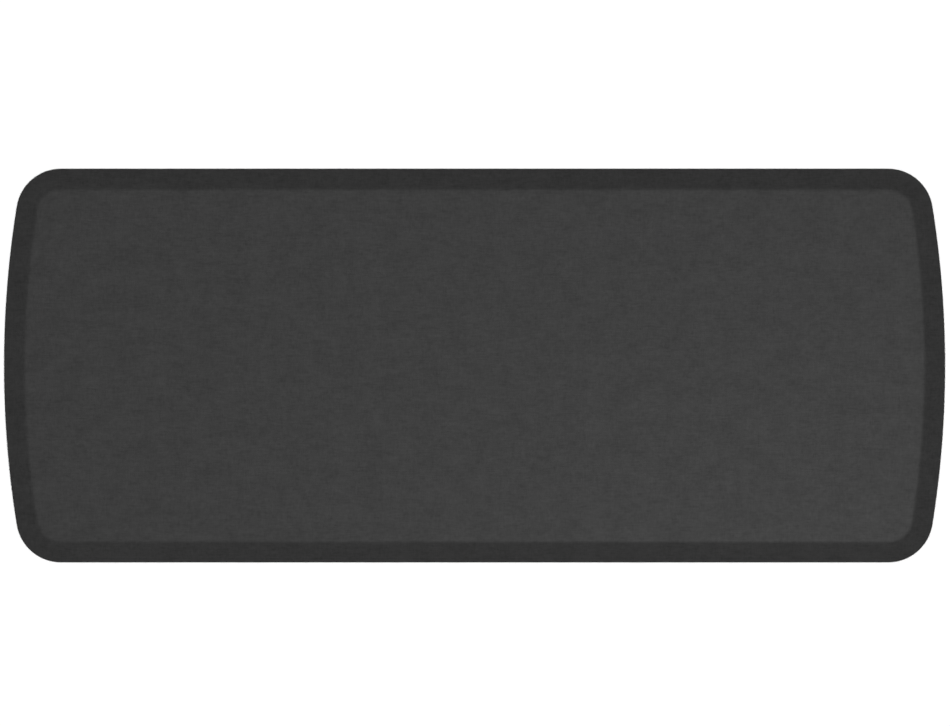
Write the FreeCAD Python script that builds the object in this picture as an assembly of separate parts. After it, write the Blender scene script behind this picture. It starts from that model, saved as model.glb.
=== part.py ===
# Anti-fatigue standing mat: foam and gel laid up inside a wrapped cover, on a non-slip backing.
# Millimetres. +X runs along the mat, +Y across it, +Z up. The origin is on the floor, under the
# middle of the mat. The pieces are made in the order in which they are laid up, from the floor.
import FreeCAD, Part
import math
import os

# Outline, seen from above: two straight sides, two bowed ends and four round corners.
mat_length = 1219.2
mat_width = 510.0
end_bow_radius = 1300.0
corner_radius = 58.0

# Edge, in section: an upright lip, then a bevel up to the standing surface.
mat_thickness = 19.0
lip_top = 5.0
bevel_width = 27.0
crest_radius = 12.0
lip_radius = 2.5

# Cover: one sheet over the top, down the bevel and the lip, and turned under as a flat hem.
cover_thickness = 0.9
fold_radius = 1.4
hem_width = 18.0

# Backing: a sheet that closes the underside, with its edge a little inside the fold.
backing_thickness = 1.6
backing_setback = 2.0

# Scrim: the flat reinforcement between the backing and the foam, inside the hem.
scrim_thickness = 0.4
scrim_to_hem_gap = 1.0

# Foam: a firm base slab, with a soft slab on it that takes up the rest of the height.
base_slab_top = 9.0

# Gel pouch: a pad between two films that are welded together in a flange all round it.
pouch_setback = 44.0
pouch_corner_radius = 30.0
flange_width = 10.0
gel_thickness = 3.0
gel_edge_radius = 2.0
film_thickness = 0.3

# Heights that follow from the layers.
hem_top = backing_thickness + cover_thickness
cover_underside = mat_thickness - cover_thickness
lower_film_top = base_slab_top + film_thickness
gel_top = lower_film_top + gel_thickness
pouch_top = gel_top + film_thickness

bevel_angle = math.atan2(mat_thickness - lip_top, bevel_width)

# The edge's section reaches this far in, where the mat is level above and below.
edge_reach = bevel_width + crest_radius


def corner_and_bow(inset, radius):
    """The centre of a corner's arc, the centre and radius of the bow, and the angle where they meet."""
    bow_centre = mat_length / 2 - end_bow_radius
    bow = end_bow_radius - inset
    corner_y = mat_width / 2 - inset - radius
    corner_x = bow_centre + math.sqrt((bow - radius) ** 2 - corner_y ** 2)
    meet = math.degrees(math.atan2(corner_y, corner_x - bow_centre))
    return corner_x, corner_y, bow_centre, bow, meet


def arc(centre_x, centre_y, radius, start, end):
    """An arc of a circle at floor level, from one angle to another, in degrees."""
    circle = Part.Circle(FreeCAD.Vector(centre_x, centre_y, 0), FreeCAD.Vector(0, 0, 1), radius)
    return Part.Edge(circle, math.radians(start), math.radians(end))


def slab(inset, bottom, top, radius=None):
    """A plate with the mat's outline moved inwards by inset, or with corners of another radius."""
    radius = radius or corner_radius - inset
    corner_x, corner_y, bow_centre, bow, meet = corner_and_bow(inset, radius)
    side_y = corner_y + radius
    edges = [
        Part.makeLine((-corner_x, -side_y, 0), (corner_x, -side_y, 0)),
        arc(corner_x, -corner_y, radius, -90, -meet),
        arc(bow_centre, 0, bow, -meet, meet),
        arc(corner_x, corner_y, radius, meet, 90),
        Part.makeLine((corner_x, side_y, 0), (-corner_x, side_y, 0)),
        arc(-corner_x, corner_y, radius, 90, 180 - meet),
        arc(-bow_centre, 0, bow, 180 - meet, 180 + meet),
        arc(-corner_x, -corner_y, radius, 180 + meet, 270),
    ]
    face = Part.Face(Part.Wire(edges))
    face.translate(FreeCAD.Vector(0, 0, bottom))
    return face.extrude(FreeCAD.Vector(0, 0, top - bottom))


def rounded_section(corners):
    """A closed face in the XZ plane. Each corner is (distance in from the outline, height, radius)."""
    edges = []
    points = [FreeCAD.Vector(-inward, 0, height) for inward, height, _ in corners]
    joins = []
    for place, (_, _, radius) in enumerate(corners):
        here = points[place]
        before = (points[place - 1] - here).normalize()
        after = (points[(place + 1) % len(points)] - here).normalize()
        half_angle = before.getAngle(after) / 2
        setback = radius / math.tan(half_angle)
        middle = here
        if radius:
            to_centre = (before + after).normalize()
            middle = here + to_centre * (radius / math.sin(half_angle) - radius)
        joins.append((here + before * setback, middle, here + after * setback))
    for place, (start, middle, end) in enumerate(joins):
        edges.append(Part.makeLine(joins[place - 1][2], start))
        if start != end:
            edges.append(Part.Arc(start, middle, end).toShape())
    return Part.Face(Part.Wire(edges))


def swept_round(section):
    """The ring that a section makes when it is carried all round the mat's outline."""
    corner_x, corner_y, bow_centre, bow, meet = corner_and_bow(0, corner_radius)

    def turned(centre_x, centre_y, radius, start, end):
        face = section.copy()
        face.translate(FreeCAD.Vector(radius, 0, 0))
        face.rotate(FreeCAD.Vector(), FreeCAD.Vector(0, 0, 1), start)
        ring = face.revolve(FreeCAD.Vector(), FreeCAD.Vector(0, 0, 1), end - start)
        ring.translate(FreeCAD.Vector(centre_x, centre_y, 0))
        return ring

    def straight(side):
        face = section.copy()
        face.rotate(FreeCAD.Vector(), FreeCAD.Vector(0, 0, 1), 90 * side)
        face.translate(FreeCAD.Vector(-corner_x, side * mat_width / 2, 0))
        return face.extrude(FreeCAD.Vector(2 * corner_x, 0, 0))

    spans = [
        straight(-1),
        turned(corner_x, -corner_y, corner_radius, -90, -meet),
        turned(bow_centre, 0, bow, -meet, meet),
        turned(corner_x, corner_y, corner_radius, meet, 90),
        straight(1),
        turned(-corner_x, corner_y, corner_radius, 90, 180 - meet),
        turned(-bow_centre, 0, bow, 180 - meet, 180 + meet),
        turned(-corner_x, -corner_y, corner_radius, 180 + meet, 270),
    ]
    return spans[0].multiFuse(spans[1:])


def joined(first, *others):
    """Touching solids made one, with no seams left in their flat faces."""
    return first.multiFuse(list(others)).removeSplitter()


def edge_line(depth):
    """The section's outer corners, from fold to crest, moved in square to the surface by depth."""
    lip = lip_top + depth * math.tan(bevel_angle) - depth / math.cos(bevel_angle)
    top = mat_thickness - depth
    crest = depth + (top - lip) / math.tan(bevel_angle)
    return [
        (depth, backing_thickness + depth, fold_radius - depth),
        (depth, lip, lip_radius - depth),
        (crest, top, crest_radius - depth),
    ]


def make_bottom_backing():
    return slab(backing_setback, 0, backing_thickness)


def make_base_scrim():
    scrim_top = backing_thickness + scrim_thickness
    return slab(hem_width + scrim_to_hem_gap, backing_thickness, scrim_top)


def make_foam_slabs(scrim, pouch):
    """The two slabs, which are glued together and then cut to the bevel as one block."""
    fold, lip, crest = edge_line(cover_thickness)
    edge = swept_round(rounded_section([
        (edge_reach, hem_top, 0),
        fold,
        lip,
        crest,
        (edge_reach, cover_underside, 0),
    ]))
    middle = slab(edge_reach, hem_top, cover_underside)
    inside_hem = slab(hem_width, backing_thickness, hem_top)
    block = joined(edge, middle, inside_hem).cut(scrim)
    base_slab = block.common(slab(0, 0, base_slab_top))
    comfort_slab = block.common(slab(0, base_slab_top, mat_thickness)).cut(pouch)
    return base_slab, comfort_slab


def make_gel_lower_film():
    return slab(pouch_setback, base_slab_top, lower_film_top, pouch_corner_radius)


def domed_pad(growth):
    """The gel's shape, made larger by growth at its sides and top, on the lower film."""
    inset = pouch_setback + flange_width - growth
    radius = pouch_corner_radius - flange_width + growth
    top = gel_top + growth
    pad = slab(inset, lower_film_top, top, radius)
    top_edges = [edge for edge in pad.Edges if edge.BoundBox.ZMin > top - film_thickness / 2]
    return pad.makeFillet(gel_edge_radius + growth, top_edges)


def make_gel_upper_film():
    flange = slab(pouch_setback, lower_film_top, lower_film_top + film_thickness, pouch_corner_radius)
    return joined(domed_pad(film_thickness), flange).cut(domed_pad(0))


def make_top_cover():
    outer_fold, outer_lip, outer_crest = edge_line(0)
    inner_fold, inner_lip, inner_crest = edge_line(cover_thickness)
    edge = swept_round(rounded_section([
        (hem_width, backing_thickness, 0),
        outer_fold,
        outer_lip,
        outer_crest,
        (edge_reach, mat_thickness, 0),
        (edge_reach, cover_underside, 0),
        inner_crest,
        inner_lip,
        inner_fold,
        (hem_width, hem_top, 0),
    ]))
    return joined(edge, slab(edge_reach, cover_underside, mat_thickness))


bottom_backing = make_bottom_backing()
base_scrim = make_base_scrim()
gel_lower_film = make_gel_lower_film()
gel_pad = domed_pad(0)
gel_upper_film = make_gel_upper_film()
gel_pouch = joined(gel_lower_film, gel_pad, gel_upper_film)
base_foam, comfort_foam = make_foam_slabs(base_scrim, gel_pouch)
top_cover = make_top_cover()

nodes = {
    "bottom_backing": bottom_backing,
    "base_scrim": base_scrim,
    "base_foam": base_foam,
    "gel_lower_film": gel_lower_film,
    "gel_pad": gel_pad,
    "gel_upper_film": gel_upper_film,
    "comfort_foam": comfort_foam,
    "top_cover": top_cover,
}

os.makedirs("parts", exist_ok=True)
for name, shape in nodes.items():
    shape.exportStep("parts/" + name + ".step")
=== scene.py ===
import bmesh
import bpy
import math
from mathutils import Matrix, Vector


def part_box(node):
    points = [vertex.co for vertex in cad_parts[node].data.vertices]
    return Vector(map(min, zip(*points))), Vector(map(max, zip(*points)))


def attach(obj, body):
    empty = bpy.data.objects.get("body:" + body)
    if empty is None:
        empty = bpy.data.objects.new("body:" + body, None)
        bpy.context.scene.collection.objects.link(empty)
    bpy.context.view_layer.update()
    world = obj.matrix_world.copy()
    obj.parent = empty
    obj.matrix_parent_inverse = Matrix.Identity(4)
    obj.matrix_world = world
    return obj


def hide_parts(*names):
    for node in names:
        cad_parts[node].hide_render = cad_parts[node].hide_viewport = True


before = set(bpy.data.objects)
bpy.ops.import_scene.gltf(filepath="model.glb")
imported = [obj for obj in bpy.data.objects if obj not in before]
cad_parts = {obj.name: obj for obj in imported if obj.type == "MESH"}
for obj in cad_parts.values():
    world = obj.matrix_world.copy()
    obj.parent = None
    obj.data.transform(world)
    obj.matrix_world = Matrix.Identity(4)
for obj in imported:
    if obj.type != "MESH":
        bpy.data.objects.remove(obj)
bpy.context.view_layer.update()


# ---------------------------------------------------------------- camera
# The camera hangs straight over the mat on a long lens, so the mat shows as a plan.
# The mat almost fills the width of the view and lies a little below its middle.
mat_low, mat_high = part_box("top_cover")
MAT_LENGTH = mat_high.x - mat_low.x
MAT_WIDTH = mat_high.y - mat_low.y
MAT_TOP = mat_high.z

VIEW_WIDTH = 1.0097 * MAT_LENGTH
LENS_MM = 400.0
SENSOR_MM = 36.0
RIGHT_OF_MIDDLE = 0.00057
ABOVE_MIDDLE = 0.0033
SIGHT_LIMIT = 1000

camera_data = bpy.data.cameras.new("camera")
camera_data.lens = LENS_MM
camera_data.sensor_width = SENSOR_MM
camera_data.clip_end = SIGHT_LIMIT
camera = bpy.data.objects.new("camera", camera_data)
camera.location = (RIGHT_OF_MIDDLE, ABOVE_MIDDLE, VIEW_WIDTH * LENS_MM / SENSOR_MM)
bpy.context.scene.collection.objects.link(camera)
bpy.context.scene.camera = camera


# ---------------------------------------------------------------- floor and light
# A white studio floor that runs out of sight, and a broad light straight overhead, as over a copy
# stand. A softbox over the mat's front right adds gloss to it and nothing else.
FLOOR_SIZE = 260.0
FLOOR_GAP = 0.0002
WHITE = (1, 1, 1, 1)
OVERHEAD_STRENGTH = 2.8
OVERHEAD_SPREAD = math.radians(36)
SOFTBOX_POWER = 58.0
SOFTBOX_SIZE = 0.6
SOFTBOX_PLACE = (0.58, -0.68, 2.1)
WORLD_FILL = 0.18
WORLD_SEEN = 1.2

bpy.ops.object.select_all(action="DESELECT")
bpy.ops.mesh.primitive_plane_add(size=FLOOR_SIZE, location=(0, 0, -FLOOR_GAP))
floor = bpy.context.object
floor.name = "studio_floor"
bpy.ops.object.transform_apply()
floor_paint = bpy.data.materials.new("studio_floor")
floor_paint.use_nodes = True
floor_shader = floor_paint.node_tree.nodes["Principled BSDF"]
floor_shader.inputs["Base Color"].default_value = WHITE
floor_shader.inputs["Roughness"].default_value = 1.0
floor_shader.inputs["Specular IOR Level"].default_value = 0.0
floor.data.materials.append(floor_paint)

overhead = bpy.data.lights.new("overhead", "SUN")
overhead.energy = OVERHEAD_STRENGTH
overhead.angle = OVERHEAD_SPREAD
bpy.context.scene.collection.objects.link(bpy.data.objects.new("overhead", overhead))

softbox = bpy.data.lights.new("softbox", "AREA")
softbox.energy = SOFTBOX_POWER
softbox.size = SOFTBOX_SIZE
softbox_object = bpy.data.objects.new("softbox", softbox)
softbox_object.location = SOFTBOX_PLACE
softbox_object.visible_diffuse = False
bpy.context.scene.collection.objects.link(softbox_object)

# The world shows white behind the floor's edge, and lights the mat only a little.
world = bpy.data.worlds.new("studio")
world.use_nodes = True
bpy.context.scene.world = world
backdrop = world.node_tree.nodes["Background"]
seen = world.node_tree.nodes.new("ShaderNodeLightPath")
brightness = world.node_tree.nodes.new("ShaderNodeMapRange")
brightness.inputs["To Min"].default_value = WORLD_FILL
brightness.inputs["To Max"].default_value = WORLD_SEEN
world.node_tree.links.new(seen.outputs["Is Camera Ray"], brightness.inputs["Value"])
world.node_tree.links.new(brightness.outputs["Result"], backdrop.inputs["Strength"])
backdrop.inputs["Color"].default_value = WHITE
bpy.context.scene.view_settings.view_transform = "Standard"


# ---------------------------------------------------------------- bottom backing
# The underside is closed by a black rubbery sheet, moulded with a plain border and a field of
# shallow square pockets. It is glued over the cover's hem, a little inside the fold.
MM = 0.001
END_BOW_RADIUS = 1300.0 * MM
CORNER_RADIUS = 58.0 * MM
STEP = 6.0 * MM
CORNER_STEPS = 16

backing_low, backing_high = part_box("bottom_backing")
BACKING_SETBACK = backing_low.y - mat_low.y
BACKING_TOP = backing_high.z
BACKING_EDGE_ROUND = 0.4 * MM
ROUND_MIDDLE = 0.3 * BACKING_EDGE_ROUND
BORDER_WIDTH = 13.0 * MM
POCKET_PITCH = 10.0 * MM
RIB_WIDTH = 2.2 * MM
POCKET_DRAFT = 0.4 * MM
POCKET_DEPTH = 0.7 * MM
WELD = 0.02 * MM
SMOOTH_UNDER = math.radians(35)
CLOUD_SHARE = 0.5
# How much paler the ribs' faces are painted than the pocket bottoms: painted shade in the pockets.
PAINTED_POCKET_SHADE = 0.4
POCKET_BLACK = (0.012, 0.012, 0.013)
RIB_BLACK = (0.036, 0.036, 0.037)


def corner_and_bow(inset, radius):
    """The centre of a corner's arc, the bow's centre and radius, and the angle where they meet."""
    bow_centre = MAT_LENGTH / 2 - END_BOW_RADIUS
    bow = END_BOW_RADIUS - inset
    corner_y = MAT_WIDTH / 2 - inset - radius
    corner_x = bow_centre + math.sqrt((bow - radius) ** 2 - corner_y ** 2)
    meet = math.atan2(corner_y, corner_x - bow_centre)
    return corner_x, corner_y, bow_centre, bow, meet


def outward(x, y):
    """How far a point lies inside the mat's outline, and the way that points out of it there."""
    corner_x, corner_y, bow_centre, bow, meet = corner_and_bow(0, CORNER_RADIUS)
    if abs(x) <= corner_x:
        return MAT_WIDTH / 2 - abs(y), Vector((0, math.copysign(1, y)))
    from_bow = Vector((abs(x) - bow_centre, abs(y)))
    if math.atan2(from_bow.y, from_bow.x) <= meet:
        inward, away = bow - from_bow.length, from_bow.normalized()
    else:
        from_corner = Vector((abs(x) - corner_x, abs(y) - corner_y))
        inward, away = CORNER_RADIUS - from_corner.length, from_corner.normalized()
    return inward, Vector((math.copysign(away.x, x), math.copysign(away.y, y)))


def take_up(piece):
    """Makes one piece the selected and active object."""
    bpy.ops.object.select_all(action="DESELECT")
    piece.select_set(True)
    bpy.context.view_layer.objects.active = piece


def choose(piece, kind, test):
    """In edit mode, selects the faces, edges or vertices that pass a test, and no others."""
    bpy.ops.mesh.select_mode(type=kind)
    bpy.ops.mesh.select_all(action="DESELECT")
    mesh = bmesh.from_edit_mesh(piece.data)
    for part in {"VERT": mesh.verts, "EDGE": mesh.edges, "FACE": mesh.faces}[kind]:
        if test(part):
            part.select_set(True)
    bmesh.update_edit_mesh(piece.data)


def carry_round(name, section, inset=0.0, radius=None):
    """Draws a section as a chain of points and carries it once round the mat's outline.

    Each point of the section is (distance in from the inset outline, height)."""
    radius = radius or CORNER_RADIUS - inset
    corner_x, corner_y, bow_centre, bow, meet = corner_and_bow(inset, radius)
    edge_y = -(corner_y + radius)
    bpy.ops.object.select_all(action="DESELECT")
    bpy.ops.mesh.primitive_plane_add(size=STEP, calc_uvs=False)
    piece = bpy.context.object
    piece.name = name
    bpy.ops.object.mode_set(mode="EDIT")
    bpy.ops.mesh.select_mode(type="VERT")
    bpy.ops.mesh.select_all(action="SELECT")
    bpy.ops.mesh.merge(type="CENTER")
    bpy.ops.transform.translate(value=(-corner_x, edge_y + section[0][0], section[0][1]))
    for (inward, height), (next_inward, next_height) in zip(section, section[1:]):
        move = (0, next_inward - inward, next_height - height)
        bpy.ops.mesh.extrude_region_move(TRANSFORM_OT_translate={"value": move})
    bpy.ops.mesh.select_all(action="SELECT")
    side_steps = round(2 * corner_x / STEP)
    bow_steps = 2 * round(meet * bow / STEP)
    turn = {"axis": (0, 0, 1), "steps": CORNER_STEPS, "angle": meet - math.pi / 2}
    sweep = {"axis": (0, 0, 1), "steps": bow_steps, "angle": -2 * meet}
    for side in (1, -1):
        stride = side * 2 * corner_x / side_steps
        bpy.ops.mesh.extrude_repeat(steps=side_steps, offset=(stride, 0, 0))
        bpy.ops.mesh.spin(center=(side * corner_x, -side * corner_y, 0), **turn)
        bpy.ops.mesh.spin(center=(side * bow_centre, 0, 0), **sweep)
        bpy.ops.mesh.spin(center=(side * corner_x, side * corner_y, 0), **turn)
    bpy.ops.mesh.select_all(action="SELECT")
    bpy.ops.mesh.remove_doubles(threshold=WELD)
    bpy.ops.object.mode_set(mode="OBJECT")
    return piece


def close_loop(piece, height):
    """Fills the open edge at a height with one flat face."""
    bpy.ops.object.mode_set(mode="EDIT")
    choose(piece, "EDGE", lambda edge: edge.is_boundary
           and all(abs(v.co.z - height) < WELD for v in edge.verts))
    bpy.ops.mesh.edge_face_add()
    bpy.ops.object.mode_set(mode="OBJECT")


def finish_piece(piece):
    """Turns the faces outwards and shades the piece smooth, except over its sharp edges."""
    take_up(piece)
    bpy.ops.object.mode_set(mode="EDIT")
    bpy.ops.mesh.select_all(action="SELECT")
    bpy.ops.mesh.normals_make_consistent(inside=False)
    bpy.ops.object.mode_set(mode="OBJECT")
    bpy.ops.object.shade_smooth_by_angle(angle=SMOOTH_UNDER)


def new_finish(name, **values):
    """A new material, its shader and its links, with the shader inputs that are named set."""
    finish = bpy.data.materials.new(name)
    finish.use_nodes = True
    shader = finish.node_tree.nodes["Principled BSDF"]
    for title, value in values.items():
        shader.inputs[title.replace("_", " ")].default_value = value
    return finish, shader, finish.node_tree.links


def add_node(finish, kind, place, **values):
    """Adds a node, and sets the inputs that are named; spaces in their names are underscores."""
    made = finish.node_tree.nodes.new(kind)
    made.location = place
    for title, value in values.items():
        made.inputs[title.replace("_", " ")].default_value = value
    return made


def add_tones(finish, place, *stops):
    """Adds a colour ramp. Each stop is (position, colour)."""
    ramp = add_node(finish, "ShaderNodeValToRGB", place)
    while len(ramp.color_ramp.elements) < len(stops):
        ramp.color_ramp.elements.new(0.5)
    for stop, (position, tone) in zip(ramp.color_ramp.elements, stops):
        stop.position = position
        stop.color = (*tone, 1)
    return ramp


def join_up(links, shader, tone, rough, bump):
    """Joins a finish's colour, roughness and relief to its shader."""
    links.new(tone.outputs["Color"], shader.inputs["Base Color"])
    links.new(rough.outputs["Result"], shader.inputs["Roughness"])
    links.new(bump.outputs["Normal"], shader.inputs["Normal"])


backing = carry_round("backing_sheet", [
    (BORDER_WIDTH, 0),
    (BACKING_EDGE_ROUND, 0),
    (ROUND_MIDDLE, ROUND_MIDDLE),
    (0, BACKING_EDGE_ROUND),
    (0, BACKING_TOP - BACKING_EDGE_ROUND),
    (BACKING_EDGE_ROUND, BACKING_TOP),
], inset=BACKING_SETBACK)
close_loop(backing, BACKING_TOP)

# The pocket field is a sheet of square cells, less those that would reach into the border.
field_columns = math.floor((MAT_LENGTH - 2 * BORDER_WIDTH) / POCKET_PITCH)
field_rows = math.floor((MAT_WIDTH - 2 * BORDER_WIDTH) / POCKET_PITCH)
bpy.ops.object.select_all(action="DESELECT")
bpy.ops.mesh.primitive_grid_add(x_subdivisions=field_columns, y_subdivisions=field_rows, size=1,
                                calc_uvs=False)
field = bpy.context.object
field.scale = (field_columns * POCKET_PITCH, field_rows * POCKET_PITCH, 1)
bpy.ops.object.transform_apply()
bpy.ops.object.mode_set(mode="EDIT")
bpy.ops.mesh.flip_normals()
FIELD_INSET = BACKING_SETBACK + BORDER_WIDTH + RIB_WIDTH
choose(field, "FACE", lambda face: any(outward(*v.co.xy)[0] < FIELD_INSET for v in face.verts))
bpy.ops.mesh.delete(type="FACE")
bpy.ops.mesh.select_all(action="SELECT")
bpy.ops.mesh.inset(use_individual=True, thickness=RIB_WIDTH / 2, depth=0)
bpy.ops.mesh.inset(use_individual=True, thickness=POCKET_DRAFT, depth=-POCKET_DEPTH)
bpy.ops.object.mode_set(mode="OBJECT")

backing.select_set(True)
bpy.context.view_layer.objects.active = backing
bpy.ops.object.join()
bpy.ops.object.mode_set(mode="EDIT")
choose(backing, "EDGE", lambda edge: edge.is_boundary)
bpy.ops.mesh.fill(use_beauty=True)
bpy.ops.object.mode_set(mode="OBJECT")
finish_piece(backing)

rubber, rubber_shader, rubber_links = new_finish("black_rubber", Specular_IOR_Level=0.35)
rubber_place = add_node(rubber, "ShaderNodeTexCoord", (-900, 0))
rubber_cloud = add_node(rubber, "ShaderNodeTexNoise", (-850, 200), Scale=40.0, Detail=4.0)
rubber_grain = add_node(rubber, "ShaderNodeTexNoise", (-650, -100), Scale=900.0, Detail=3.0)
# The pockets are painted darker than the ribs' faces, the deeper the darker: painted shade in the
# recesses.
rubber_axes = add_node(rubber, "ShaderNodeSeparateXYZ", (-850, 450))
rubber_pocket_shade = add_node(rubber, "ShaderNodeMapRange", (-650, 450), From_Min=POCKET_DEPTH,
                         From_Max=0.0, To_Max=PAINTED_POCKET_SHADE)
rubber_shade = add_node(rubber, "ShaderNodeMath", (-600, 200))
rubber_shade.operation = "MULTIPLY_ADD"
rubber_shade.inputs[1].default_value = CLOUD_SHARE
rubber_tone = add_tones(rubber, (-400, 200), (0.15, POCKET_BLACK), (0.75, RIB_BLACK))
rubber_rough = add_node(rubber, "ShaderNodeMapRange", (-400, -60), To_Min=0.62, To_Max=0.82)
rubber_bump = add_node(rubber, "ShaderNodeBump", (-250, -300), Strength=0.35, Distance=0.2 * MM)
rubber_links.new(rubber_place.outputs["Object"], rubber_cloud.inputs["Vector"])
rubber_links.new(rubber_place.outputs["Object"], rubber_grain.inputs["Vector"])
rubber_links.new(rubber_place.outputs["Object"], rubber_axes.inputs["Vector"])
rubber_links.new(rubber_axes.outputs["Z"], rubber_pocket_shade.inputs["Value"])
rubber_links.new(rubber_cloud.outputs["Fac"], rubber_shade.inputs[0])
rubber_links.new(rubber_pocket_shade.outputs["Result"], rubber_shade.inputs[2])
rubber_links.new(rubber_shade.outputs["Value"], rubber_tone.inputs["Fac"])
rubber_links.new(rubber_grain.outputs["Fac"], rubber_rough.inputs["Value"])
rubber_links.new(rubber_grain.outputs["Fac"], rubber_bump.inputs["Height"])
join_up(rubber_links, rubber_shader, rubber_tone, rubber_rough, rubber_bump)
backing.data.materials.append(rubber)

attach(backing, "root")
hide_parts("bottom_backing")


# ---------------------------------------------------------------- base scrim
# A white scrim of flat polyester yarns, laid crosswise and bedded in glue on the backing.
# It stops the foam from stretching, and keeps the mat's ends from curling.
scrim_low, scrim_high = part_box("base_scrim")
SCRIM_INSET = scrim_low.y - mat_low.y
SCRIM_PITCH = 12.0 * MM
YARN_WIDTH = 2.4 * MM
PLAY = 0.04 * MM
YARN_SHADE = (0.52, 0.52, 0.49)
YARN_WHITE = (0.8, 0.8, 0.78)

scrim_columns = math.ceil((scrim_high.x - scrim_low.x) / SCRIM_PITCH)
scrim_rows = math.ceil((scrim_high.y - scrim_low.y) / SCRIM_PITCH)
bpy.ops.object.select_all(action="DESELECT")
bpy.ops.mesh.primitive_grid_add(x_subdivisions=scrim_columns, y_subdivisions=scrim_rows, size=1,
                                location=(0, 0, scrim_high.z - PLAY), calc_uvs=False)
scrim = bpy.context.object
scrim.name = "scrim_net"
scrim.scale = (scrim_columns * SCRIM_PITCH, scrim_rows * SCRIM_PITCH, 1)
bpy.ops.object.transform_apply()
bpy.ops.object.mode_set(mode="EDIT")
choose(scrim, "FACE", lambda face: any(outward(*v.co.xy)[0] < SCRIM_INSET for v in face.verts))
bpy.ops.mesh.delete(type="FACE")
bpy.ops.mesh.select_all(action="SELECT")
bpy.ops.mesh.inset(use_individual=True, thickness=YARN_WIDTH / 2, depth=0)
bpy.ops.mesh.delete(type="FACE")
bpy.ops.object.mode_set(mode="OBJECT")


def thicken(piece, thickness, inner_material=0):
    """Gives an open sheet its thickness, behind its face."""
    take_up(piece)
    bpy.ops.object.modifier_add(type="SOLIDIFY")
    solidify = piece.modifiers[-1]
    solidify.thickness = thickness
    solidify.offset = -1
    solidify.use_even_offset = True
    solidify.material_offset = inner_material
    bpy.ops.object.modifier_apply(modifier=solidify.name)


thicken(scrim, scrim_high.z - scrim_low.z - 2 * PLAY)
finish_piece(scrim)

yarn, yarn_shader, yarn_links = new_finish("white_yarn")
yarn_place = add_node(yarn, "ShaderNodeTexCoord", (-900, 0))
yarn_fibre = add_node(yarn, "ShaderNodeTexNoise", (-650, 0), Scale=700.0, Detail=3.0)
yarn_tone = add_tones(yarn, (-400, 150), (0, YARN_SHADE), (1, YARN_WHITE))
yarn_rough = add_node(yarn, "ShaderNodeMapRange", (-400, -100), To_Min=0.7, To_Max=0.9)
yarn_bump = add_node(yarn, "ShaderNodeBump", (-250, -300), Strength=0.5, Distance=0.1 * MM)
yarn_links.new(yarn_place.outputs["Object"], yarn_fibre.inputs["Vector"])
yarn_links.new(yarn_fibre.outputs["Fac"], yarn_tone.inputs["Fac"])
yarn_links.new(yarn_fibre.outputs["Fac"], yarn_rough.inputs["Value"])
yarn_links.new(yarn_fibre.outputs["Fac"], yarn_bump.inputs["Height"])
join_up(yarn_links, yarn_shader, yarn_tone, yarn_rough, yarn_bump)
scrim.data.materials.append(yarn)


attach(scrim, "root")
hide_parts("base_scrim")


# ---------------------------------------------------------------- base foam
# A slab of firm, springy foam. It is glued to the soft slab above it, and the two are then cut
# to the bevel as one block. Its underside is relieved round the edge for the cover's hem.
LIP_TOP = 5.0 * MM
BEVEL_WIDTH = 27.0 * MM
CREST_RADIUS = 12.0 * MM
LIP_RADIUS = 2.5 * MM
COVER_THICKNESS = 0.9 * MM
FOLD_RADIUS = 1.4 * MM
HEM_WIDTH = 18.0 * MM
BEVEL_ANGLE = math.atan2(MAT_TOP - LIP_TOP, BEVEL_WIDTH)
EDGE_REACH = BEVEL_WIDTH + CREST_RADIUS
ARC_STEPS = 5
RUN_STEP = 6.0 * MM

CELL_SHARE = 0.7
FIRM_CELL = 1.1 * MM
FIRM_DARK = (0.035, 0.037, 0.04)
FIRM_LIGHT = (0.115, 0.12, 0.125)

foam_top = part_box("base_foam")[1].z


def edge_line(depth):
    """The edge's corners, fold, lip and crest, moved in square to the surface by a depth."""
    lip = LIP_TOP + depth * math.tan(BEVEL_ANGLE) - depth / math.cos(BEVEL_ANGLE)
    top = MAT_TOP - depth
    crest = depth + (top - lip) / math.tan(BEVEL_ANGLE)
    return [
        (depth, BACKING_TOP + depth, max(FOLD_RADIUS - depth, 0)),
        (depth, lip, LIP_RADIUS - depth),
        (crest, top, CREST_RADIUS - depth),
    ]


def on_bevel(depth, height):
    """Where the bevel, moved in by a depth, comes to a height."""
    lip = edge_line(depth)[1]
    return depth + (height - lip[1]) / math.tan(BEVEL_ANGLE)


def rounded(corners):
    """A section's points: corners with a radius become arcs, and long straight runs are divided."""
    stretches = [[Vector(corners[0][:2])]]
    for before, corner, after in zip(corners, corners[1:], corners[2:]):
        here = Vector(corner[:2])
        radius = corner[2]
        back = (Vector(before[:2]) - here).normalized()
        ahead = (Vector(after[:2]) - here).normalized()
        half = back.angle(ahead) / 2
        if not radius:
            stretches.append([here])
            continue
        centre = here + (back + ahead).normalized() * radius / math.sin(half)
        first = (here + back * radius / math.tan(half) - centre).normalized()
        last = (here + ahead * radius / math.tan(half) - centre).normalized()
        stretches.append([centre + radius * first.slerp(last, step / ARC_STEPS)
                          for step in range(ARC_STEPS + 1)])
    stretches.append([Vector(corners[-1][:2])])
    points = list(stretches[0])
    for stretch in stretches[1:]:
        start, end = points[-1], stretch[0]
        runs = max(1, math.ceil((end - start).length / RUN_STEP))
        points += [start.lerp(end, run / runs) for run in range(1, runs)]
        points += stretch
    return [tuple(point) for point in points]


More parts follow.
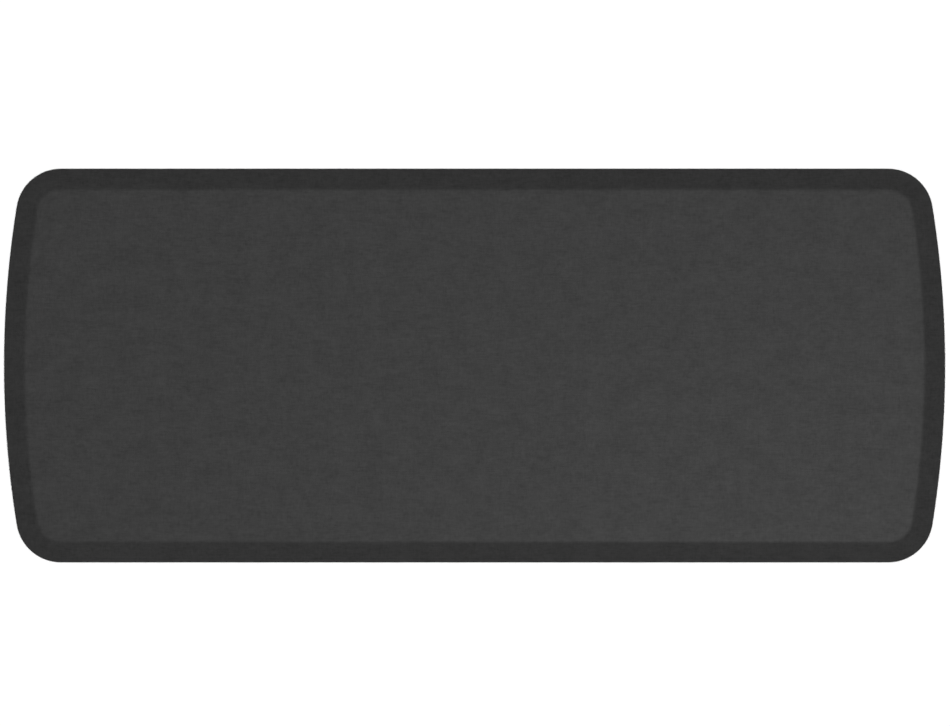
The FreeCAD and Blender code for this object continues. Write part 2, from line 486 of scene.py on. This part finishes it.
under_cover = COVER_THICKNESS + PLAY
slab_edge = on_bevel(under_cover, foam_top)
foam_fold, foam_lip, foam_crest = edge_line(under_cover)
base_foam = carry_round("base_foam_slab", rounded([
    (HEM_WIDTH + RUN_STEP, scrim_high.z + PLAY, 0),
    (HEM_WIDTH + PLAY, scrim_high.z + PLAY, 0),
    (HEM_WIDTH + PLAY, foam_fold[1], 0),
    foam_fold,
    foam_lip,
    (slab_edge, foam_top - PLAY, 0),
    (slab_edge + RUN_STEP, foam_top - PLAY, 0),
]))
close_loop(base_foam, scrim_high.z + PLAY)
close_loop(base_foam, foam_top - PLAY)
finish_piece(base_foam)


def foam_material(name, dark, light, cell):
    """Cut foam: pale cell walls round darker cells of a size, a little cloudy over the slab."""
    foam, shader, links = new_finish(name, Specular_IOR_Level=0.2)
    place = add_node(foam, "ShaderNodeTexCoord", (-1100, 0))
    cells = add_node(foam, "ShaderNodeTexVoronoi", (-850, 150), Scale=1 / cell)
    cloud = add_node(foam, "ShaderNodeTexNoise", (-850, -200), Scale=9.0, Detail=3.0)
    cloudiness = add_node(foam, "ShaderNodeMapRange", (-720, -200), To_Min=0.28, To_Max=0.58)
    shape = add_node(foam, "ShaderNodeMath", (-560, 0))
    shape.operation = "MULTIPLY_ADD"
    shape.inputs[1].default_value = CELL_SHARE
    tone = add_tones(foam, (-400, 150), (0.3, dark), (0.95, light))
    rough = add_node(foam, "ShaderNodeMapRange", (-400, -100), To_Min=0.85, To_Max=1.0)
    bump = add_node(foam, "ShaderNodeBump", (-250, -300), Strength=0.6, Distance=0.3 * MM)
    links.new(place.outputs["Object"], cells.inputs["Vector"])
    links.new(place.outputs["Object"], cloud.inputs["Vector"])
    links.new(cells.outputs["Distance"], shape.inputs[0])
    links.new(cloud.outputs["Fac"], cloudiness.inputs["Value"])
    links.new(cloudiness.outputs["Result"], shape.inputs[2])
    links.new(shape.outputs["Value"], tone.inputs["Fac"])
    links.new(cells.outputs["Distance"], rough.inputs["Value"])
    links.new(cells.outputs["Distance"], bump.inputs["Height"])
    join_up(links, shader, tone, rough, bump)
    return foam


base_foam.data.materials.append(foam_material("cut_firm_foam", FIRM_DARK, FIRM_LIGHT, FIRM_CELL))

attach(base_foam, "root")
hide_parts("base_foam")


# ---------------------------------------------------------------- gel pouch, lower film
# A clear flexible film, cut flat. The gel lies on it, and the upper film is welded to it all
# round. The pouch has rounder corners than the mat, so that the weld doesn't pucker.
film_low, film_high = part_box("gel_lower_film")
POUCH_INSET = film_low.y - mat_low.y
POUCH_CORNER_RADIUS = 30.0 * MM
FLANGE_WIDTH = 10.0 * MM
FILM_SHADE = (0.68, 0.76, 0.83)
FILM_CLEAR = (0.82, 0.87, 0.92)

lower_film = carry_round("lower_gel_film", rounded([
    (FLANGE_WIDTH, film_low.z + PLAY, 0),
    (0, film_low.z + PLAY, 0),
    (0, film_high.z - PLAY, 0),
    (FLANGE_WIDTH, film_high.z - PLAY, 0),
]), inset=POUCH_INSET, radius=POUCH_CORNER_RADIUS)
close_loop(lower_film, film_low.z + PLAY)
close_loop(lower_film, film_high.z - PLAY)
finish_piece(lower_film)

film, film_shader, film_links = new_finish("clear_film", Transmission_Weight=0.8, IOR=1.5)
film_place = add_node(film, "ShaderNodeTexCoord", (-900, 0))
film_cloud = add_node(film, "ShaderNodeTexNoise", (-650, 100), Scale=25.0, Detail=3.0)
film_tone = add_tones(film, (-400, 150), (0, FILM_SHADE), (1, FILM_CLEAR))
film_rough = add_node(film, "ShaderNodeMapRange", (-400, -100), To_Min=0.12, To_Max=0.3)
film_bump = add_node(film, "ShaderNodeBump", (-250, -300), Strength=0.3, Distance=0.4 * MM)
film_links.new(film_place.outputs["Object"], film_cloud.inputs["Vector"])
film_links.new(film_cloud.outputs["Fac"], film_tone.inputs["Fac"])
film_links.new(film_cloud.outputs["Fac"], film_rough.inputs["Value"])
film_links.new(film_cloud.outputs["Fac"], film_bump.inputs["Height"])
join_up(film_links, film_shader, film_tone, film_rough, film_bump)
lower_film.data.materials.append(film)

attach(lower_film, "root")
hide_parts("gel_lower_film")


# ---------------------------------------------------------------- gel pad
# A pad of soft blue gel, cast between the films. Its upper edge is round, and its top is a
# little uneven, as the gel settles under the film.
gel_low, gel_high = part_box("gel_pad")
GEL_EDGE_RADIUS = 2.0 * MM
GEL_FOOT_RADIUS = 0.6 * MM
GEL_SWELL = 0.25 * MM
GEL_SWELL_SIZE = 45.0 * MM
GEL_DARK = (0.05, 0.22, 0.45)
GEL_LIGHT = (0.14, 0.42, 0.68)


def fill_with_grid(piece, height, inset=0.0, radius=None):
    """Fills the open edge at a height with a grid, whose corners are midway round the corners."""
    radius = radius or CORNER_RADIUS - inset
    corner_x, corner_y, _, bow, meet = corner_and_bow(inset, radius)
    bow_steps = 2 * round(meet * bow / STEP)
    diagonal = Vector((-math.cos((meet + math.pi / 2) / 2), -math.sin((meet + math.pi / 2) / 2)))
    bpy.ops.object.mode_set(mode="EDIT")
    choose(piece, "EDGE", lambda edge: edge.is_boundary
           and all(abs(v.co.z - height) < WELD for v in edge.verts))
    mesh = bmesh.from_edit_mesh(piece.data)

    def off_diagonal(vert):
        from_corner = (vert.co.xy - Vector((-corner_x, -corner_y))).normalized()
        return (from_corner - diagonal).length

    at_corner = min((vert for vert in mesh.verts if vert.select), key=off_diagonal)
    mesh.select_history.clear()
    mesh.select_history.add(at_corner)
    bpy.ops.mesh.fill_grid(span=bow_steps + CORNER_STEPS, offset=0)
    bpy.ops.object.mode_set(mode="OBJECT")


def swell(piece, name, size, amount, level, lowest):
    """Makes all of a piece above a height gently uneven, with swells of a size and an amount."""
    group = piece.vertex_groups.new(name="upper_side")
    upper = [vert.index for vert in piece.data.vertices if vert.co.z > lowest]
    group.add(upper, 1.0, "REPLACE")
    texture = bpy.data.textures.get(name) or bpy.data.textures.new(name, "CLOUDS")
    texture.noise_scale = size
    texture.noise_depth = 1
    take_up(piece)
    bpy.ops.object.modifier_add(type="DISPLACE")
    displace = piece.modifiers[-1]
    displace.texture = texture
    displace.texture_coords = "LOCAL"
    displace.direction = "Z"
    displace.strength = amount
    displace.mid_level = level
    displace.vertex_group = group.name
    bpy.ops.object.modifier_apply(modifier=displace.name)
    piece.vertex_groups.clear()


GEL_INSET = POUCH_INSET + FLANGE_WIDTH
GEL_CORNER_RADIUS = POUCH_CORNER_RADIUS - FLANGE_WIDTH
gel_pad = carry_round("soft_gel_pad", rounded([
    (RUN_STEP, gel_low.z + PLAY, 0),
    (0, gel_low.z + PLAY, GEL_FOOT_RADIUS),
    (0, gel_high.z - PLAY, GEL_EDGE_RADIUS),
    (RUN_STEP, gel_high.z - PLAY, 0),
]), inset=GEL_INSET, radius=GEL_CORNER_RADIUS)
close_loop(gel_pad, gel_low.z + PLAY)
fill_with_grid(gel_pad, gel_high.z - PLAY, GEL_INSET, GEL_CORNER_RADIUS)
finish_piece(gel_pad)
gel_top = gel_high.z - GEL_EDGE_RADIUS / 2
swell(gel_pad, "gel_swell", GEL_SWELL_SIZE, GEL_SWELL, 1.0, gel_top)

gel, gel_shader, gel_links = new_finish("blue_gel", Transmission_Weight=0.45, IOR=1.42)
gel_place = add_node(gel, "ShaderNodeTexCoord", (-900, 0))
gel_cloud = add_node(gel, "ShaderNodeTexNoise", (-650, 100), Scale=11.0, Detail=4.0)
gel_tone = add_tones(gel, (-400, 150), (0.3, GEL_DARK), (0.7, GEL_LIGHT))
gel_rough = add_node(gel, "ShaderNodeMapRange", (-400, -100), To_Min=0.15, To_Max=0.35)
gel_bump = add_node(gel, "ShaderNodeBump", (-250, -300), Strength=0.4, Distance=0.5 * MM)
gel_links.new(gel_place.outputs["Object"], gel_cloud.inputs["Vector"])
gel_links.new(gel_cloud.outputs["Fac"], gel_tone.inputs["Fac"])
gel_links.new(gel_cloud.outputs["Fac"], gel_rough.inputs["Value"])
gel_links.new(gel_cloud.outputs["Fac"], gel_bump.inputs["Height"])
join_up(gel_links, gel_shader, gel_tone, gel_rough, gel_bump)
gel_pad.data.materials.append(gel)

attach(gel_pad, "root")
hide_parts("gel_pad")


# ---------------------------------------------------------------- gel pouch, upper film
# The same film, drawn over the pad's round edge and welded flat to the lower film.
dome_low, dome_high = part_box("gel_upper_film")
FILM_THICKNESS = film_high.z - film_low.z
FOOT_BEND_RADIUS = 0.5 * MM

film_body = FILM_THICKNESS - 2 * PLAY
upper_film = carry_round("upper_gel_film", rounded([
    (0, dome_low.z + FILM_THICKNESS - PLAY, 0),
    (FLANGE_WIDTH - FILM_THICKNESS + PLAY, dome_low.z + FILM_THICKNESS - PLAY, FOOT_BEND_RADIUS),
    (FLANGE_WIDTH - FILM_THICKNESS + PLAY, dome_high.z - PLAY, GEL_EDGE_RADIUS + FILM_THICKNESS),
    (FLANGE_WIDTH + RUN_STEP, dome_high.z - PLAY, 0),
]), inset=POUCH_INSET, radius=POUCH_CORNER_RADIUS)
fill_with_grid(upper_film, dome_high.z - PLAY, POUCH_INSET, POUCH_CORNER_RADIUS)
finish_piece(upper_film)
swell(upper_film, "gel_swell", GEL_SWELL_SIZE, GEL_SWELL, 1.0, gel_top + FILM_THICKNESS)
thicken(upper_film, film_body)
finish_piece(upper_film)
upper_film.data.materials.append(film)

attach(upper_film, "root")
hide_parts("gel_upper_film")


# ---------------------------------------------------------------- comfort foam
# The soft upper slab. A pocket cut in its underside takes the gel pouch, and its top edge is
# cut to the bevel and rounded over at the crest.
SWELL_SIZE = 90.0 * MM
SWELL = 0.3 * MM
SWELL_REACH = 2.0 * MM
SOFT_CELL = 1.6 * MM
SOFT_DARK = (0.2, 0.205, 0.21)
SOFT_LIGHT = (0.62, 0.63, 0.64)
comfort_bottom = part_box("comfort_foam")[0].z
comfort_foam = carry_round("comfort_foam_slab", rounded([
    (slab_edge + RUN_STEP, comfort_bottom + PLAY, 0),
    (on_bevel(under_cover, comfort_bottom + PLAY), comfort_bottom + PLAY, 0),
    foam_crest,
    (EDGE_REACH, foam_crest[1], 0),
]))
close_loop(comfort_foam, comfort_bottom + PLAY)
fill_with_grid(comfort_foam, foam_crest[1])
finish_piece(comfort_foam)

pocket = carry_round("pouch_pocket", rounded([
    (RUN_STEP, comfort_bottom - RUN_STEP, 0),
    (-PLAY, comfort_bottom - RUN_STEP, 0),
    (-PLAY, dome_low.z + FILM_THICKNESS, 0),
    (FLANGE_WIDTH - FILM_THICKNESS, dome_low.z + FILM_THICKNESS, FOOT_BEND_RADIUS / 2),
    (FLANGE_WIDTH - FILM_THICKNESS, dome_high.z, GEL_EDGE_RADIUS),
    (FLANGE_WIDTH + RUN_STEP, dome_high.z, 0),
]), inset=POUCH_INSET, radius=POUCH_CORNER_RADIUS)
close_loop(pocket, comfort_bottom - RUN_STEP)
close_loop(pocket, dome_high.z)
finish_piece(pocket)
take_up(comfort_foam)
bpy.ops.object.modifier_add(type="BOOLEAN")
pocket_cut = comfort_foam.modifiers[-1]
pocket_cut.operation = "DIFFERENCE"
pocket_cut.object = pocket
bpy.ops.object.modifier_apply(modifier=pocket_cut.name)
bpy.data.objects.remove(pocket)
swell(comfort_foam, "foam_swell", SWELL_SIZE, SWELL, 0.5, foam_crest[1] - SWELL_REACH)
comfort_foam.data.materials.append(foam_material("cut_soft_foam", SOFT_DARK, SOFT_LIGHT, SOFT_CELL))

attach(comfort_foam, "root")
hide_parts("comfort_foam")


# ---------------------------------------------------------------- top cover
# One sheet of coated cloth with a linen look, glued down over the standing surface, the bevel
# and the lip, and turned under the edge as a hem. A pale knitted lining backs it.
cover_line = rounded([
    (HEM_WIDTH, BACKING_TOP, 0),
    *edge_line(0),
    (EDGE_REACH, MAT_TOP, 0),
])
cover = carry_round("linen_cover", cover_line)
fill_with_grid(cover, MAT_TOP)
finish_piece(cover)

# How far each point of the section lies from the level top, measured along the cloth.
unrolled = [0.0]
for (inward, height), (next_inward, next_height) in zip(cover_line[::-1], cover_line[-2::-1]):
    unrolled.append(unrolled[-1] + math.hypot(next_inward - inward, next_height - height))
unrolled.reverse()
CLOTH_LENGTH = MAT_LENGTH - 2 * EDGE_REACH + 2 * unrolled[0]
CLOTH_WIDTH = MAT_WIDTH - 2 * EDGE_REACH + 2 * unrolled[0]


def place_in_cloth(spot):
    """Where a point of the cover lies in the cloth, when the edge is unrolled flat."""
    inward, away = outward(spot.x, spot.y)
    if spot.z > MAT_TOP - WELD and inward > EDGE_REACH - WELD:
        return spot.xy
    here = Vector((inward, spot.z))
    nearest = min(range(len(cover_line)), key=lambda at: (Vector(cover_line[at]) - here).length)
    return spot.xy + away * (inward - EDGE_REACH + unrolled[nearest])


cloth_map = cover.data.uv_layers.new(name="cloth")
in_cloth = [place_in_cloth(vert.co) for vert in cover.data.vertices]
for loop in cover.data.loops:
    cloth_map.data[loop.index].uv = in_cloth[loop.vertex_index]

# The cloth's tone is built up from layers: every yarn has its own run of light and dark, and
# over them lie soft clouds. Yarn coordinates step from yarn to yarn, so that no two are alike.
YARN_PITCH = 1.25 * MM
YARN_STEP = 1.37
ALONG_YARN = 0.05
LAYER_SHIFT = (7.3, 3.1)
SLUB_DARKEST = 0.3
SLUB_ENDS = 0.42
SLUBS_MEAN = 0.85
DARK_ROUGHNESS = 0.585
PALE_ROUGHNESS = 0.515
PALE_CHARCOAL = (0.033, 0.033, 0.033)
CHARCOAL = (0.0272, 0.0272, 0.0272)
DARK_CHARCOAL = (0.0208, 0.0208, 0.0208)
yarns_per_metre = YARN_STEP / YARN_PITCH
weft_steps = (ALONG_YARN, YARN_STEP, 1)
warp_steps = (YARN_STEP, ALONG_YARN, 1)
linen_layers = [
    # name, cells per metre along and across, steps, depth of tone
    ("slubs", (110, yarns_per_metre), weft_steps, 0.11),
    ("weft", (54, yarns_per_metre), weft_steps, 0.40),
    ("warp", (yarns_per_metre, 85), warp_steps, 0.34),
    ("clouds", (90, 130), None, 0.36),
    ("mottle", (28, 36), None, 0.33),
    ("grain", (240, 250), None, 0.32),
]

linen, linen_shader, linen_links = new_finish("charcoal_linen", Specular_IOR_Level=0.073)
linen_place = add_node(linen, "ShaderNodeUVMap", (-1700, 0))
linen_place.uv_map = "cloth"
tone_so_far = None
for row, (layer, cells, steps, depth) in enumerate(linen_layers):
    height = -260 * row
    shift = (LAYER_SHIFT[0] * row, LAYER_SHIFT[1] * row, 0)
    laid = add_node(linen, "ShaderNodeMapping", (-1480, height), Scale=(*cells, 1), Location=shift)
    noise = add_node(linen, "ShaderNodeTexNoise", (-1060, height), Scale=1.0, Detail=1.0)
    noise.noise_dimensions = "2D"
    linen_links.new(linen_place.outputs["UV"], laid.inputs["Vector"])
    if steps:
        from_yarn_to_yarn = add_node(linen, "ShaderNodeVectorMath", (-1270, height))
        from_yarn_to_yarn.operation = "SNAP"
        from_yarn_to_yarn.inputs[1].default_value = steps
        linen_links.new(laid.outputs["Vector"], from_yarn_to_yarn.inputs[0])
        linen_links.new(from_yarn_to_yarn.outputs["Vector"], noise.inputs["Vector"])
    else:
        linen_links.new(laid.outputs["Vector"], noise.inputs["Vector"])
    shade = noise.outputs["Fac"]
    if layer == "slubs":
        # Only the darkest stretches of a yarn show as slubs; the rest is even.
        dark_only = add_node(linen, "ShaderNodeMapRange", (-850, height), From_Min=SLUB_DARKEST,
                             From_Max=SLUB_ENDS)
        linen_links.new(noise.outputs["Fac"], dark_only.inputs["Value"])
        shade = dark_only.outputs["Result"]
    adding = add_node(linen, "ShaderNodeMath", (-640, height))
    adding.operation = "MULTIPLY_ADD"
    adding.inputs[1].default_value = depth
    linen_links.new(shade, adding.inputs[0])
    if tone_so_far:
        linen_links.new(tone_so_far, adding.inputs[2])
    else:
        # The layers add up to the ramp's middle where every noise is at its mean.
        all_depths = sum(layer_depth for *_, layer_depth in linen_layers)
        adding.inputs[2].default_value = 0.5 - 0.5 * all_depths - (SLUBS_MEAN - 0.5) * depth
    tone_so_far = adding.outputs["Value"]

linen_tone = add_tones(linen, (-400, 200), (0.2, DARK_CHARCOAL), (0.5, CHARCOAL), (0.8, PALE_CHARCOAL))

# A paler spot is also a little smoother, so it shines a little more.
linen_rough = add_node(linen, "ShaderNodeMapRange", (-400, -80), To_Min=DARK_ROUGHNESS,
                       To_Max=PALE_ROUGHNESS)

# The relief is finer than the tone: weft and warp yarns of the embossed weave.
RELIEF_DEPTH = 0.12 * MM
WEFT_RELIEF = (260, 1100)
WARP_RELIEF = (1100, 300)
relief_sum = add_node(linen, "ShaderNodeMath", (-400, -600))
for row, cells in enumerate((WEFT_RELIEF, WARP_RELIEF)):
    height = -1600 - 260 * row
    laid = add_node(linen, "ShaderNodeMapping", (-820, height), Scale=(*cells, 1))
    noise = add_node(linen, "ShaderNodeTexNoise", (-620, height), Scale=1.0, Detail=1.0)
    noise.noise_dimensions = "2D"
    linen_links.new(linen_place.outputs["UV"], laid.inputs["Vector"])
    linen_links.new(laid.outputs["Vector"], noise.inputs["Vector"])
    linen_links.new(noise.outputs["Fac"], relief_sum.inputs[row])
linen_bump = add_node(linen, "ShaderNodeBump", (-200, -600), Strength=0.5, Distance=RELIEF_DEPTH)
linen_links.new(tone_so_far, linen_tone.inputs["Fac"])
linen_links.new(tone_so_far, linen_rough.inputs["Value"])
linen_links.new(relief_sum.outputs["Value"], linen_bump.inputs["Height"])
join_up(linen_links, linen_shader, linen_tone, linen_rough, linen_bump)

LINING_LOOPS = (900, 500)
LINING_SHADE = (0.42, 0.42, 0.4)
LINING_PALE = (0.68, 0.68, 0.66)
lining, lining_shader, lining_links = new_finish("knitted_lining")
lining_place = add_node(lining, "ShaderNodeUVMap", (-1100, 0))
lining_place.uv_map = "cloth"
lining_laid = add_node(lining, "ShaderNodeMapping", (-900, 0), Scale=(*LINING_LOOPS, 1))
lining_loops = add_node(lining, "ShaderNodeTexNoise", (-650, 0), Scale=1.0, Detail=2.0)
lining_loops.noise_dimensions = "2D"
lining_tone = add_tones(lining, (-400, 150), (0, LINING_SHADE), (1, LINING_PALE))
lining_rough = add_node(lining, "ShaderNodeMapRange", (-400, -100), To_Min=0.8, To_Max=0.95)
lining_bump = add_node(lining, "ShaderNodeBump", (-250, -300), Strength=0.5, Distance=0.2 * MM)
lining_links.new(lining_place.outputs["UV"], lining_laid.inputs["Vector"])
lining_links.new(lining_laid.outputs["Vector"], lining_loops.inputs["Vector"])
lining_links.new(lining_loops.outputs["Fac"], lining_tone.inputs["Fac"])
lining_links.new(lining_loops.outputs["Fac"], lining_rough.inputs["Value"])
lining_links.new(lining_loops.outputs["Fac"], lining_bump.inputs["Height"])
join_up(lining_links, lining_shader, lining_tone, lining_rough, lining_bump)
cover.data.materials.append(linen)
cover.data.materials.append(lining)

swell(cover, "foam_swell", SWELL_SIZE, SWELL, 0.5, MAT_TOP - SWELL_REACH)
thicken(cover, COVER_THICKNESS, inner_material=1)

# The face of the cloth takes most of the map that the finish is baked to, the lining the rest.
FACE_SHARE = 0.82
LINING_START = 0.84
LINING_SHARE = 0.14
MAP_FILL = 0.99
bake_map = cover.data.uv_layers.new(name="OFBake")
cloth_map = cover.data.uv_layers["cloth"]
for face in cover.data.polygons:
    start, share = (LINING_START, LINING_SHARE) if face.material_index else (0.0, FACE_SHARE)
    for index in face.loop_indices:
        along, across = cloth_map.data[index].uv
        bake_map.data[index].uv = (0.5 + MAP_FILL * along / CLOTH_LENGTH,
                                   start + share * (0.5 + MAP_FILL * across / CLOTH_WIDTH))

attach(cover, "root")
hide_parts("top_cover")
